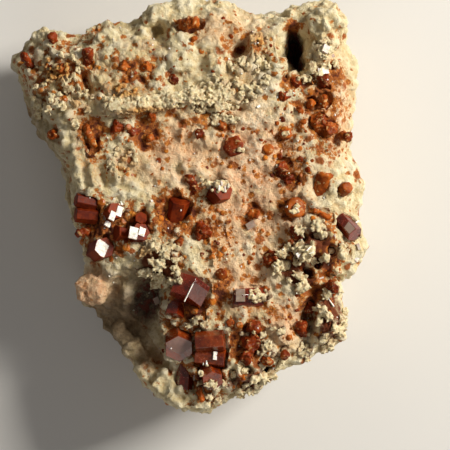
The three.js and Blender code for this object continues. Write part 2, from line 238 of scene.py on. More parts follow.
# Hollows and clefts: middle, half-widths, turn, depth in millimetres.
HOLLOWS = [
    ((13.2, 19.0), (1.15, 2.0), 8, 4.2),  # the deep pocket
    ((12.8, 20.6), (0.9, 1.1), -20, 3.0),
    ((13.8, 17.3), (0.8, 0.9), 20, 3.0),
    ((12.4, 18.6), (0.7, 0.9), 0, 2.4),
    ((-3.5, 21.6), (0.6, 0.9), 10, 1.2),
    ((6.3, 18.9), (0.55, 1.9), -32, 1.5),
    ((-5.0, 11.2), (4.4, 0.45), 3, 0.4),
    ((-12.0, 15.0), (0.45, 1.4), 20, 1.5),
    ((2.4, 11.9), (1.1, 0.5), 10, 0.9),
    ((5.6, 12.1), (1.1, 0.4), -8, 0.9),
    ((1.4, 14.7), (0.7, 0.5), 20, 0.8),
    ((-9.9, 3.5), (0.35, 1.0), 0, 1.0),
    ((-14.9, 14.0), (0.6, 0.6), 0, 0.8),
    ((19.2, -5.3), (0.6, 0.7), 0, 1.2),
    ((15.8, -3.3), (0.9, 0.5), 0, 1.8),
    ((15.7, -6.5), (0.6, 0.8), 0, 2.4),
    ((14.6, -7.6), (0.5, 0.7), 30, 2.2),
    ((13.8, -3.6), (0.7, 0.5), 20, 1.8),
    ((11.8, -7.0), (0.6, 0.5), 0, 1.2),
    ((17.4, -5.0), (0.5, 0.6), 0, 2.0),
    ((15.0, -10.0), (0.9, 0.6), 20, 1.0),
    ((9.6, -19.6), (0.7, 0.5), 0, 1.8),
    ((7.2, -19.4), (0.6, 0.5), 0, 1.8),
    ((17.4, -8.3), (1.1, 0.6), 0, 1.4),
    ((14.6, -13.6), (0.8, 3.2), -8, 2.0),
    ((5.6, -19.9), (0.5, 0.8), 0, 1.3),
    ((-4.8, -11.0), (2.2, 3.3), -15, 2.5),
    ((-1.1, -0.3), (1.8, 2.0), 0, 0.9),
    ((1.8, -2.5), (1.3, 1.4), 0, 0.7),
    ((-3.6, -17.4), (0.8, 1.2), 0, 0.8),
    ((-1.4, -12.9), (1.7, 1.6), 0, 1.0),
    ((9.2, 17.6), (0.5, 0.9), 0, 0.7),
    ((16.0, 2.6), (0.8, 1.6), 0, 0.6),
]
# Lumps pressed on: middle, half-widths, turn and how far the lump stands out in millimetres.
BOULDERS = [
    ((-6.6, 12.5), (3.4, 0.7), 3, 0.3),
    ((-1.2, 13.0), (3.4, 0.7), 6, 0.3),
    ((-11.3, -9.9), (2.3, 2.2), 0, 0.4),
    ((-3.4, 23.3), (1.9, 1.3), 20, 0.1),
    ((10.9, 16.9), (1.3, 1.3), 0, 0.0),
    ((17.2, 22.6), (2.2, 1.8), 0, -0.6),
    ((18.2, 20.4), (1.0, 1.2), 0, -0.4),
    ((-0.2, -23.3), (2.0, 1.1), 6, 0.6),
    ((20.5, -5.0), (0.9, 0.9), 0, -0.2),
    ((19.9, -7.1), (0.8, 0.8), 0, -0.2),
    ((20.3, 3.0), (1.1, 1.6), 0, -0.4),
    ((-12.9, 4.8), (0.9, 2.4), 15, 0.2),
    ((-11.3, 4.2), (0.6, 2.1), 10, 0.1),
    ((-8.6, 4.6), (0.6, 1.6), 10, 0.1),
    ((-7.2, 3.6), (0.5, 1.2), -10, 0.0),
    ((-14.2, 11.0), (1.0, 1.0), 0, 0.1),
    ((-15.6, 13.0), (1.1, 0.9), 0, 0.1),
    ((-17.6, 14.6), (1.0, 0.9), 0, 0.0),
    ((-9.6, 14.6), (1.4, 0.8), -30, 0.2),
    ((-15.8, 20.0), (1.5, 1.0), 10, 0.1),
    ((-9.6, 20.4), (1.7, 1.3), 0, 0.0),
    ((-0.4, 17.4), (2.0, 1.6), 0, 0.0),
    ((0.0, 16.6), (1.0, 0.9), 0, 0.2),
    ((-5.0, 19.6), (1.4, 1.0), 0, 0.0),
    ((3.2, 17.6), (1.3, 1.4), 0, 0.0),
    ((-0.7, 1.9), (0.4, 1.0), 35, 0.3),
    ((0.6, -0.4), (0.35, 1.3), -20, 0.2),
    ((-0.6, 8.8), (0.5, 1.3), -10, 0.1),
    ((2.8, -11.6), (0.45, 1.7), -20, 0.2),
    ((3.0, -5.0), (0.4, 2.2), 10, 0.1),
    ((5.0, -3.6), (0.4, 1.8), 15, 0.1),
    ((-7.6, -14.0), (1.3, 2.0), 35, -0.2),
    ((-5.2, -17.4), (1.1, 1.9), 35, -0.2),
    ((-3.4, -20.6), (1.0, 1.6), 30, -0.2),
    ((-9.8, -14.6), (0.9, 1.4), 35, -0.2),
    ((0.8, -23.2), (1.2, 0.9), 0, -0.3),
    ((-7.2, -10.0), (1.4, 1.5), 0, -0.2),
    ((11.8, -15.4), (1.2, 1.3), 0, 0.0),
]

# Buried blocks that make the ledge round the lower rim: middle, half-widths, turn and height of the top above
# the bench in millimetres.
LEDGE = [
    ((-7.7, -15.5), (1.1, 2.0), 36, 12.6),
    ((-5.8, -17.9), (1.4, 2.1), 36, 13.8),
    ((-4.3, -20.0), (1.5, 2.0), 40, 14.8),
    ((-2.6, -21.5), (1.5, 1.9), 52, 15.8),
    ((-0.9, -22.7), (1.4, 1.7), 60, 16.4),
    ((1.2, -23.3), (2.0, 1.1), -4, 16.6),
]
# Crystals with clean faces. The others are weathered and half dissolved.
CLEAN = [
    "grey_end", "bright_edge", "lower_cluster", "grey_bar", "silver_top", "white_face", "silver_left",
    "largest_glint", "slanted_bar", "deep_red", "left_pair", "big_dark",
]
# Clean crystals with a dull coat, which wear the dull finish.
DULL = [
    "silver_top", "white_face", "silver_left", "largest_glint", "left_pair", "big_dark",
]
# Darker crystals, which wear the umber finish.
DARK = [
    "low_group", "under_pocket", "cleft_upper", "cleft_lower", "corner_dark", "ridge_end",
    "radiating_middle", "centre_dark", "big_dark", "below_ring", "basin_block", "left_pair", "left_small",
    "arm_tip", "arm_top", "edge_low", "under_patch_1", "right_glint", "round_red", "upper_left", "arm_side",
]
# Weathered crystals that still show their form.
GENTLE = [
    "round_red", "ring", "right_brown", "edge_orange", "soft_brown", "bead_ring", "above_bar",
]
# Painted sheen, reflection and glint on crystal faces: the crystal, the kind of painted sheen and the outline
# in plan of the part it covers.
SHEEN_PAINTED = [
    (
        "grey_end",
        "film",
        [(-2.7, -15.1), (0.9, -15.1), (0.9, -16.5), (-0.8, -17.6), (-2.0, -17.0), (-2.8, -15.9)],
    ),
    ("slanted_bar", "pale", [(19.6, -1.3), (20.8, -3.0), (20.1, -3.9), (18.9, -2.3)]),
    ("bright_edge", "mauve", [(0.85, -8.7), (2.9, -10.2), (1.7, -12.9), (-0.2, -11.4)]),
    ("largest_glint", "silver", [(-10.5, -3.5), (-9.9, -4.0), (-9.3, -4.4), (-9.9, -5.9), (-11.2, -5.1)]),
]
# Bright plates on the rock and the crystals, their pale colour a painted glint beside the key light they
# mirror: middle in plan, half-widths in millimetres, turn in degrees and how far the plate may lean away from
# the key light's mirror.
PLATES = [
    ((0.28, -10.05), (0.055, 1.28), -26, 0.0),
    ((16.4, 16.5), (0.7, 0.35), 10, 0.02),
    ((16.7, 19.1), (0.5, 0.4), 60, 0.08),
    ((17.6, 18.4), (0.25, 0.2), 20, 0.1),
    ((3.4, -17.65), (0.24, 0.5), -4, 0.02),
    ((2.4, -18.5), (0.1, 0.25), 0, 0.04),
    ((2.0, -18.6), (0.06, 0.2), 0, 0.04),
    ((13.5, -5.5), (0.45, 0.28), 25, 0.03),
    ((13.0, -5.9), (0.25, 0.15), 60, 0.1),
    ((14.6, -4.8), (0.45, 0.07), 40, 0.06),
    ((14.9, -5.3), (0.35, 0.06), 20, 0.06),
    ((11.0, 5.1), (0.28, 0.16), 10, 0.05),
    ((20.5, -1.6), (0.25, 0.12), 30, 0.06),
    ((20.5, -6.1), (0.3, 0.25), 50, 0.08),
    ((20.7, -4.6), (0.2, 0.4), 20, 0.15),
    ((17.2, -11.1), (0.07, 0.85), 35, 0.03),
    ((16.1, -8.4), (0.4, 0.1), 20, 0.1),
    ((10.9, 13.4), (0.13, 0.13), 0, 0.05),
    ((8.6, 12.2), (0.22, 0.12), 30, 0.05),
    ((7.6, 5.8), (0.09, 0.09), 0, 0.05),
    ((-4.2, 0.9), (0.13, 0.13), 20, 0.03),
    ((16.5, 1.3), (0.15, 0.1), 45, 0.05),
    ((-6.35, -2.95), (0.54, 0.72), -8, 0.02),
    ((-5.35, -2.8), (0.4, 0.52), -14, 0.04),
    ((-8.05, -0.35), (0.36, 0.62), -15, 0.03),
    ((-8.85, -0.9), (0.36, 0.56), -20, 0.05),
    ((-9.45, -1.75), (0.38, 0.46), -25, 0.06),
    ((-7.8, 0.65), (0.14, 0.25), 20, 0.06),
    ((-9.85, -1.1), (0.15, 0.3), -10, 0.2),
    ((2.9, 2.5), (0.1, 0.3), 10, 0.06),
    ((3.4, 2.7), (0.12, 0.5), 6, 0.12),
    ((3.9, 2.4), (0.1, 0.36), -4, 0.08),
    ((4.2, 3.0), (0.12, 0.3), 12, 0.15),
    ((4.6, 2.3), (0.1, 0.4), 2, 0.12),
    ((5.0, 2.7), (0.12, 0.3), -6, 0.2),
    ((0.9, -20.4), (0.08, 0.35), -5, 0.05),
    ((9.6, -7.9), (0.08, 0.08), 30, 0.05),
]
# Short square crystal ends with a painted pale grey reflection on top: middle in plan, half-widths in
# millimetres and turn.
SHEEN_TOPPED_ENDS = [
    ((6.45, -10.35), (0.55, 0.76), 0),
    ((-3.7, -11.15), (0.34, 0.42), 25),
    ((7.7, -1.95), (0.55, 0.4), 30),
]
# Small crystals: middle, half-widths, how many, smallest and largest radius in millimetres.
SMALL_FIELDS = [
    ((8.0, 2.0), (7.5, 8.5), 81, 0.18, 0.40),
    ((14.5, 8.5), (5.5, 6.0), 62, 0.19, 0.48),
    ((3.0, -5.0), (2.6, 5.5), 33, 0.19, 0.46),
    ((-4.5, -2.0), (5.0, 3.5), 43, 0.24, 0.51),
    ((-9.5, -2.6), (3.6, 4.0), 33, 0.29, 0.61),
    ((-6.5, 6.5), (5.0, 4.0), 33, 0.19, 0.46),
    ((-14.0, 15.0), (6.0, 5.5), 26, 0.19, 0.51),
    ((-6.0, 18.0), (6.0, 3.6), 16, 0.18, 0.41),
    ((5.0, 19.5), (6.0, 4.5), 18, 0.18, 0.41),
    ((9.0, -13.0), (5.5, 4.0), 52, 0.19, 0.48),
    ((15.5, -8.0), (4.5, 7.5), 62, 0.19, 0.48),
    ((5.5, -19.0), (5.5, 3.2), 38, 0.24, 0.56),
    ((0.0, -13.0), (3.5, 8.0), 28, 0.24, 0.56),
]


# ---- plan helpers ----


def plan(x, y, z=0.0):
    """A point in metres from plan millimetres."""
    return Vector((x * MM + PLAN_ZERO.x, y * MM + PLAN_ZERO.y, z * MM))


def plan_of(point):
    """Plan millimetres of a point in metres."""
    return (point.x - PLAN_ZERO.x) / MM, (point.y - PLAN_ZERO.y) / MM


def field_strength(x, y, middle, half, turn, strength):
    across = x - middle[0]
    along = y - middle[1]
    angle = math.radians(turn)
    u = (across * math.cos(angle) + along * math.sin(angle)) / half[0]
    v = (along * math.cos(angle) - across * math.sin(angle)) / half[1]
    return strength * math.exp(-((u * u + v * v) ** 2) * 0.7)


def strongest(fields, x, y):
    return max(field_strength(x, y, *field[:4]) for field in fields)


def ramp(value, low, high):
    share = min(1.0, max(0.0, (value - low) / (high - low)))
    return share * share * (3.0 - 2.0 * share)


def plumb(tree, x, y):
    """The point and normal where a plumb line at that x and y in metres meets the tree."""
    return tree.ray_cast(Vector((x, y, PLUMB_HEIGHT)), DOWN)[:2]


def drop_on(tree, x, y):
    """The point and normal where a plumb line over that place in plan meets the tree."""
    place = plan(x, y)
    return plumb(tree, place.x, place.y)


def place_in(draw, middle, half, turn=0.0, reach=1.0):
    """A random place in an ellipse in plan, evenly spread over its area."""
    distance = math.sqrt(draw.random()) * reach
    angle = draw.uniform(0, math.tau)
    slope = math.radians(turn)
    u = half[0] * distance * math.cos(angle)
    v = half[1] * distance * math.sin(angle)
    x = middle[0] + u * math.cos(slope) - v * math.sin(slope)
    y = middle[1] + u * math.sin(slope) + v * math.cos(slope)
    return x, y


# ---- mesh helpers ----


def new_piece(name, mesh):
    piece = bpy.data.objects.new(name, mesh)
    bpy.context.scene.collection.objects.link(piece)
    return piece


def merged_copy(node):
    """The node's mesh with its loose triangles merged, as a bmesh."""
    whole = bmesh.new()
    whole.from_mesh(frame["nodes"][node].data)
    bmesh.ops.remove_doubles(whole, verts=whole.verts, dist=0.002 * MM)
    return whole


def finished_mesh(name, whole):
    """The bmesh as a flat-shaded mesh."""
    mesh = bpy.data.meshes.new(name)
    whole.to_mesh(mesh)
    whole.free()
    mesh.shade_flat()
    return mesh


def add_copy(whole, mesh, matrix):
    """Adds a moved copy of the mesh to a bmesh."""
    copy = mesh.copy()
    copy.transform(matrix)
    whole.from_mesh(copy)
    bpy.data.meshes.remove(copy)


def reskinned(piece, voxel_size):
    """The piece's mesh as one skin of even fineness."""
    skin = piece.modifiers.new("skin", "REMESH")
    skin.mode = "VOXEL"
    skin.voxel_size = voxel_size
    return applied(piece)


def keep_layers(mesh, layers):
    """Stores a number for each vertex under each layer's name."""
    for name, values in layers.items():
        mesh.attributes.new(name, "FLOAT", "POINT").data.foreach_set("value", values)


def applied(piece):
    """The piece's mesh with its modifiers applied, which are then removed."""
    bpy.context.view_layer.update()
    mesh = bpy.data.meshes.new_from_object(piece.evaluated_get(bpy.context.evaluated_depsgraph_get()))
    piece.modifiers.clear()
    piece.data = mesh
    return mesh


def gathered(name, placed):
    """One mesh from many small ones: placed is a list of (mesh, matrix)."""
    whole = bmesh.new()
    for mesh, matrix in placed:
        add_copy(whole, mesh, matrix)
    return finished_mesh(name, whole)


def ball(name, subdivisions):
    """A ball of radius one."""
    whole = bmesh.new()
    bmesh.ops.create_icosphere(whole, subdivisions=subdivisions, radius=1.0)
    return finished_mesh(name, whole)


# ---- shader helpers ----


class Value:
    """A shader socket that takes Python arithmetic: each operation adds one Math node."""

    def __init__(self, finish, socket):
        self.finish = finish
        self.socket = socket

    def maths(self, operation, first, second):
        return self.finish.add("ShaderNodeMath", {"operation": operation}, {0: first, 1: second})

    def __add__(self, other):
        return self.maths("ADD", self, other)

    def __sub__(self, other):
        return self.maths("SUBTRACT", self, other)

    def __rsub__(self, other):
        return self.maths("SUBTRACT", other, self)

    def __mul__(self, other):
        return self.maths("MULTIPLY", self, other)

    __radd__ = __add__
    __rmul__ = __mul__


class Finish:
    """A material and the one method that adds nodes to it."""

    def __init__(self, name):
        self.material = bpy.data.materials.new(name)
        self.material.use_nodes = True
        self.tree = self.material.node_tree
        self.tree.nodes.clear()

    def add(self, kind, settings=None, values=None, out=0):
        """Adds a node and gives its output of that number: settings come first, then values or links."""
        node = self.tree.nodes.new(kind)
        for name, setting in (settings or {}).items():
            if name == "stops":
                self.set_stops(node.color_ramp, setting)
            else:
                setattr(node, name, setting)
        for key, value in (values or {}).items():
            if isinstance(value, Value):
                self.tree.links.new(value.socket, node.inputs[key])
            else:
                node.inputs[key].default_value = value
        return None if out is None else Value(self, node.outputs[out])

    @staticmethod
    def set_stops(color_ramp, stops):
        while len(color_ramp.elements) < len(stops):
            color_ramp.elements.new(1.0)
        for element, (position, colour) in zip(color_ramp.elements, stops):
            element.position = position
            element.color = colour

    def millimetres(self):
        """The place in the piece's own coordinates, in millimetres."""
        place = self.add("ShaderNodeTexCoord", out=3)
        return self.add("ShaderNodeVectorMath", {"operation": "SCALE"}, {0: place, "Scale": 1 / MM})

    def noise(self, place, scale, detail=3.0, roughness=0.55):
        values = {"Vector": place, "Scale": scale, "Detail": detail, "Roughness": roughness}
        return self.add("ShaderNodeTexNoise", None, values)

    def warped(self, place, scale, reach):
        """The place moved about by noise, so that a pattern read from it has uneven outlines."""
        drift = self.add("ShaderNodeTexNoise", None, {"Vector": place, "Scale": scale, "Detail": 2.0}, out=1)
        settings = {"operation": "MULTIPLY_ADD"}
        return self.add("ShaderNodeVectorMath", settings, {0: drift, 1: (reach, reach, reach), 2: place})

    def cells(self, place, scale, out=0):
        """Cells of a Voronoi pattern: output 0 is the distance to a cell's middle, 1 a random colour."""
        return self.add("ShaderNodeTexVoronoi", None, {"Vector": place, "Scale": scale}, out=out)

    def spots(self, place, scale, radius, share):
        """1 in round spots of random size that a share of the cells hold, 0 between them."""
        chance = self.cells(place, scale, 1)
        size = self.add("ShaderNodeSeparateColor", None, {0: chance}, out=0)
        held = self.add("ShaderNodeSeparateColor", None, {0: chance}, out=1)
        inside = self.between(size * radius + 0.35 * radius - self.cells(place, scale), 0.0, 0.2)
        return inside * self.between(held + share, 0.98, 1.02)

    def attribute(self, name):
        return self.add("ShaderNodeAttribute", {"attribute_name": name}, out=2)

    def between(self, value, low, high):
        """0 below low, 1 above high, smooth in between."""
        settings = {"interpolation_type": "SMOOTHSTEP"}
        return self.add("ShaderNodeMapRange", settings, {"Value": value, "From Min": low, "From Max": high})

    def mix(self, share, first, second):
        return self.add("ShaderNodeMix", {"data_type": "RGBA"}, {0: share, 6: first, 7: second}, out=2)

    def bump(self, height, distance, strength=1.0, under=None):
        values = {"Height": height, "Distance": distance, "Strength": strength}
        if under is not None:
            values["Normal"] = under
        return self.add("ShaderNodeBump", None, values)

    def surface(self, values):
        """The material, once a shader with those values is its surface."""
        shader = self.add("ShaderNodeBsdfPrincipled", None, values)
        self.add("ShaderNodeOutputMaterial", None, {"Surface": shader}, out=None)
        return self.material


def tone(red, green, blue):
    """A linear colour from display values of 0 to 255."""

    def linear(value):
        share = value / 255
        return share / 12.92 if share <= 0.04045 else ((share + 0.055) / 1.055) ** 2.4

    return (linear(red), linear(green), linear(blue), 1.0)


# ---- finishes ----


def rock_finish():
    finish = Finish("peach and cream rock")
    place = finish.millimetres()
    names = ("crust", "peach", "ochre", "stain", "flank", "relief", "hollow")
    crust, peach, ochre, stain, flank, relief, hollow = map(finish.attribute, names)
    broad = finish.noise(place, 0.35, 4.0)
    middle = finish.noise(place, 1.1, 4.0, 0.6)
    fine = finish.noise(place, 3.6, 3.0, 0.6)
    body = finish.mix(finish.between(middle, 0.35, 0.7), tone(222, 202, 152), tone(250, 240, 204))
    rosy = finish.mix(finish.between(fine + middle, 0.7, 1.3), tone(234, 174, 128), tone(252, 220, 180))
    body = finish.mix(peach * finish.between(broad + middle * 0.6, 0.45, 0.85), body, rosy)
    golden = finish.mix(finish.between(fine, 0.4, 0.65), tone(160, 88, 24), tone(212, 158, 76))
    body = finish.mix(ochre * finish.between(middle + fine * 0.5, 0.6, 0.9), body, golden)
    sunk = 0.5 - relief
    # Tan in the sunken parts of the relief, darker in the recesses: partly the rock's own colour, partly
    # painted shade.
    recess_tan_and_shade = finish.mix(finish.between(middle, 0.4, 0.6), tone(176, 116, 56), tone(212, 166, 104))
    body = finish.mix(finish.between(sunk * 1.4 + (fine - 0.5), -0.2, 0.45) * (0.65 - peach * 0.3), body, recess_tan_and_shade)
    # Painted highlight: the raised crests of the relief are lightened towards pale cream.
    painted_crest_highlight = finish.between(relief + (fine - 0.5) * 0.5, 0.62, 0.86) * 0.6
    body = finish.mix(painted_crest_highlight, body, tone(252, 242, 216))
    rust = finish.mix(finish.between(fine, 0.35, 0.65), tone(150, 74, 18), tone(200, 122, 46))
    cover = stain * 0.6 + (middle - 0.5) * 1.2 + (fine - 0.5) * 0.7 + sunk * 1.5
    body = finish.mix(finish.between(cover, 0.28, 0.44), body, rust)
    body = finish.mix(finish.between(cover, 0.5, 0.72), body, tone(98, 40, 8))
    # Dark brown between the crust's stars and in dips: partly the rock's own colour, partly painted shade.
    gap_brown_and_shade = crust * 0.9 + sunk * 0.5 + (middle - 0.5) * 0.8
    body = finish.mix(finish.between(gap_brown_and_shade, 0.3, 0.6), body, tone(116, 52, 14))
    uneven = finish.warped(place, 1.9, 0.8)
    clumps = (broad - 0.5) * 0.9
    grains = finish.spots(uneven, 1.1, 0.46, stain * 0.4 + peach * 0.22 + 0.27 + clumps)
    blots = finish.spots(uneven, 0.66, 0.4, stain * 0.35 + peach * 0.1 + 0.24 + clumps)
    rusty = finish.mix(finish.between(fine, 0.35, 0.65), tone(162, 82, 10), tone(212, 134, 42))
    body = finish.mix(grains * (1 - flank * 0.9), body, rusty)
    body = finish.mix(blots * (1 - flank), body, finish.mix(fine, tone(118, 42, 8), tone(214, 124, 38)))
    # Painted shade on the flanks and the lower sides, mixed with their own dull brown.
    shaded = finish.mix(finish.between(middle, 0.35, 0.7), tone(88, 60, 36), tone(146, 112, 74))
    body = finish.mix(flank * 0.75 * (1 - finish.between(peach, 0.5, 1.0) * 0.7), body, shaded)
    # Painted shade in the hollows, darker where they are deeper.
    pocket = finish.mix(finish.between(middle, 0.45, 0.6), tone(34, 14, 8), tone(96, 36, 12))
    depth = hollow + (middle - 0.5) * 0.9 + (fine - 0.5) * 0.4
    body = finish.mix(finish.between(depth, 0.2, 0.75), body, pocket)
    grain = finish.noise(place, 5.5, 4.0, 0.7)
    pits = finish.noise(place, 2.2, 3.0, 0.6)
    normal = finish.bump(pits, 0.4 * MM, 0.8)
    normal = finish.bump(grain, 0.16 * MM, 0.9, normal)
    roughness = 0.85 - blots * 0.4 - grains * 0.3
    return finish.surface({"Base Color": body, "Roughness": roughness, "Normal": normal, "IOR": 1.5})


def crust_finish():
    finish = Finish("granular cream crust")
    place = finish.millimetres()
    ochre, relief, height = map(finish.attribute, ("ochre", "relief", "height"))
    broad = finish.noise(place, 0.6, 3.0)
    fine = finish.noise(place, 3.0, 3.0)
    body = finish.mix(finish.between(fine, 0.35, 0.65), tone(218, 200, 152), tone(242, 229, 192))
    stained = finish.mix(finish.between(fine, 0.4, 0.6), tone(186, 116, 44), tone(222, 178, 106))
    body = finish.mix(finish.between(broad * 0.5 + ochre * 0.6 + fine * 0.2, 0.6, 0.9), body, stained)
    # Darker in the crust's dents and towards the rock below it: partly the rock showing through, partly
    # painted shade.
    body = finish.mix((1 - finish.between(relief, 0.3, 0.55)) * 0.5, body, tone(160, 108, 58))
    body = finish.mix((1 - finish.between(height + fine * 0.4, 0.4, 0.9)) * 0.9, body, tone(96, 46, 20))
    normal = finish.bump(finish.noise(place, 6.0, 3.0, 0.7), 0.08 * MM, 0.7)
    return finish.surface({"Base Color": body, "Roughness": 0.8, "Normal": normal, "IOR": 1.5})


# Finishes of the crystals, their painted sheens and their plates: name, deep and lit colour, roughness, how
# much rougher the clouds are, height of the steps in millimetres, index of refraction and dust.
CRYSTAL_FINISHES = {
    "deep": ("deep red crystal", (74, 16, 5), (140, 44, 12), 0.1, 0.25, 0.03, 2.0, 0.0),
    "brown": ("brown red crystal", (100, 32, 8), (164, 70, 20), 0.1, 0.25, 0.03, 2.0, 0.0),
    "rusty": ("rusty worn crystal", (118, 44, 6), (186, 98, 30), 0.45, 0.3, 0.08, 1.25, 0.8),
    "umber": ("umber worn crystal", (88, 26, 5), (150, 60, 14), 0.4, 0.3, 0.08, 1.25, 0.6),
    "orange": ("orange crystal", (158, 76, 12), (212, 130, 46), 0.3, 0.3, 0.05, 1.4, 0.6),
    # Painted sheen: lilac grey and pale grey reflections and a lit brown mauve face, painted as colour.
    "film": ("lilac grey film", (146, 108, 96), (178, 140, 126), 0.3, 0.2, 0.02, 1.7, 0.0),
    "pale": ("pale grey film", (150, 128, 112), (182, 160, 144), 0.3, 0.2, 0.02, 1.7, 0.0),
    "mauve": ("brown mauve face", (66, 22, 14), (98, 44, 32), 0.45, 0.2, 0.08, 1.52, 0.0),
    # Painted glint: the plates' pale silvery colour, partly their own grey, stands for the glint they catch.
    "dim_silver": ("dim silvery plates", (146, 122, 102), (206, 192, 176), 0.4, 0.2, 0.04, 1.5, 0.0),
    "silver": ("silvery plates", (170, 154, 138), (220, 212, 202), 0.26, 0.32, 0.08, 1.55, 0.0),
    "dull": ("dull red crystal", (88, 22, 5), (144, 54, 12), 0.5, 0.2, 0.05, 1.25, 0.0),
}


def crystal_finish(name, deep, lit, gloss, dullness, steps, bending, dust):
    """Crystal with clouds of lighter colour, faintly stepped faces and, when dusty, pale patches."""
    finish = Finish(name)
    place = finish.millimetres()
    broad = finish.noise(place, 0.45, 3.0)
    fine = finish.noise(place, 2.6, 4.0, 0.65)
    body = finish.mix(finish.between(broad + fine * 0.5, 0.55, 0.95), tone(*deep), tone(*lit))
    if dust:
        patches = finish.noise(place, 1.7, 4.0, 0.7)
        body = finish.mix(finish.between(patches, 0.56, 0.64) * dust, body, tone(214, 178, 124))
    roughness = gloss + finish.between(fine, 0.45, 0.7) * dullness
    normal = finish.bump(finish.noise(place, 3.2, 4.0, 0.6), steps * MM, 0.5)
    values = {
        "Base Color": body,
        "Roughness": roughness,
        "Normal": normal,
        "IOR": bending,
        "Subsurface Weight": 0.35,
        "Subsurface Radius": (1.0, 0.3, 0.08),
        "Subsurface Scale": 0.7 * MM,
    }
    return finish.surface(values)


def floor_finish():
    finish = Finish("pale studio floor")
    place = finish.millimetres()
    soft = finish.noise(place, 0.02, 2.0)
    body = finish.mix(soft, tone(232, 231, 229), tone(240, 239, 237))
    return finish.surface({"Base Color": body, "Roughness": 0.9})


# ---- the rock ----


def socket_plug(node, tree):
    """The buried part of a crystal, swollen to close the socket round it."""
    whole = merged_copy(node)
    low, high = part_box(node)
    middle = (low + high) / 2
    reach = max(high.x - low.x, high.y - low.y) / 2 + SOCKET_MARGIN
    hits = []
    for step in range(12):
        angle = math.tau * step / 12
        hit = plumb(tree, middle.x + reach * math.cos(angle), middle.y + reach * math.sin(angle))[0]
        if hit is not None:
            hits.append(hit)
    heights = sorted(hit.z for hit in hits)
    level = heights[len(heights) // 2] - 0.15 * MM
    whole.normal_update()
    for vertex in whole.verts:
        vertex.co += vertex.normal * SOCKET_FILL
    cut = bmesh.ops.bisect_plane(
        whole,
        geom=whole.verts[:] + whole.edges[:] + whole.faces[:],
        plane_co=(0, 0, level),
        plane_no=(0, 0, 1),
        clear_outer=True,
    )
    edges = [item for item in cut["geom_cut"] if isinstance(item, bmesh.types.BMEdge)]
    bmesh.ops.holes_fill(whole, edges=edges)
    return whole


def boulder_matrix(tree, middle, half, turn, height):
    """Places a round lump of the given half-widths on the crystal face."""
    hit = drop_on(tree, *middle)[0]
    size = Matrix.Diagonal((half[0] * MM, half[1] * MM, (0.2 + 0.65 * min(half)) * MM, 1))
    spin = Matrix.Rotation(math.radians(turn), 4, "Z")
    return Matrix.Translation(hit + Vector((0, 0, height * MM - size[2][2] * 0.35))) @ spin @ size


def ledge_matrix(middle, half, turn, top):
    """Places a buried block of the given half-widths with its top at that height in millimetres."""
    size = Matrix.Diagonal((half[0] * MM, half[1] * MM, LEDGE_DEPTH, 1))
    spin = Matrix.Rotation(math.radians(turn), 4, "Z")
    return Matrix.Translation(plan(*middle, top - LEDGE_DEPTH / MM)) @ spin @ size


def rock_clay(tree):
    """The rock's solid, its filled sockets, its lumps and its ledge, joined in one skin."""
    whole = merged_copy("matrix")
    for node in frame["nodes"]:
        if node != "matrix":
            plug = finished_mesh("plug", socket_plug(node, tree))
            whole.from_mesh(plug)
            bpy.data.meshes.remove(plug)
    round_lump = ball("lump", 4)
    for boulder in BOULDERS:
        add_copy(whole, round_lump, boulder_matrix(tree, *boulder))
    block = bmesh.new()
    bmesh.ops.create_cube(block, size=2.0)
    bmesh.ops.bevel(
        block,
        geom=block.edges[:],
        offset=0.35,
        affect="EDGES",
        segments=4,
        profile=0.5,
        material=-1,
    )
    round_block = finished_mesh("block", block)
    for ledge in LEDGE:
        add_copy(whole, round_block, ledge_matrix(*ledge))
    piece = new_piece("rock", finished_mesh("rock", whole))
    reskinned(piece, VOXEL)
    return piece


def thin_sides(piece):
    """Fewer triangles on the sides and the flat back, none taken from the crystal face."""
    group = piece.vertex_groups.new(name="sides")
    for vertex in piece.data.vertices:
        back = ramp(vertex.co.z, 0.6 * MM, 0.2 * MM)
        side = ramp(vertex.normal.z, 0.5, 0.2) * ramp(vertex.co.z, 15 * MM, 9 * MM)
        weight = max(back, side * 0.5)
        if weight > 0:
            group.add([vertex.index], weight, "REPLACE")
    thin = piece.modifiers.new("thin", "DECIMATE")
    thin.ratio = SIDE_SHARE
    thin.vertex_group = group.name
    applied(piece)
    piece.vertex_groups.clear()


def knobs(point, size):
    """Rounded bumps one size apart: 1 on a bump's top, towards 0 between bumps."""
    distances = noise.voronoi(point / size)[0]
    return max(0.0, 1.0 - distances[0] * 1.25)


def face_relief(point, smooth):
    """Relief of the crystal face in millimetres: hummocks, ribs and pits, milder where the rock is smooth."""
    drift = noise.noise_vector(point * 0.8) * 0.4
    broad = noise.fractal(point * 0.3, 1.0, 2.1, 3)
    middle = noise.fractal(point * 0.85, 0.8, 2.2, 4)
    lumps = knobs(point + drift, 1.35)
    grains = knobs(point + drift * 2, 0.7)
    ribs = noise.fractal(Vector((point.x * 1.2, point.y * 0.38, point.z * 0.6)), 1.0, 2.2, 3)
    pit = max(0.0, noise.noise(point * 0.5 + Vector((9, 4, 1)))) * knobs(point + Vector((7.7, 2.9, 4.1)), 1.1)
    rough = (lumps * 0.48 + grains * 0.18) * (1 - 0.6 * smooth)
    return broad * 0.42 + middle * 0.24 + rough + ribs * 0.1 * smooth - pit * 0.9


def side_relief(point):
    """Relief of the broken sides in millimetres."""
    broad = noise.fractal(point * 0.16, 1.0, 2.2, 4)
    middle = noise.fractal(point * 0.6, 0.9, 2.2, 4)
    ridged = noise.ridged_multi_fractal(point * 0.22, 0.9, 2.2, 4, 1.0, 2.0)
    lumps = knobs(point + noise.noise_vector(point * 0.7) * 0.6, 1.9)
    return broad * 1.0 + middle * 0.45 + (ridged - 1.1) * 0.4 + lumps * 0.6


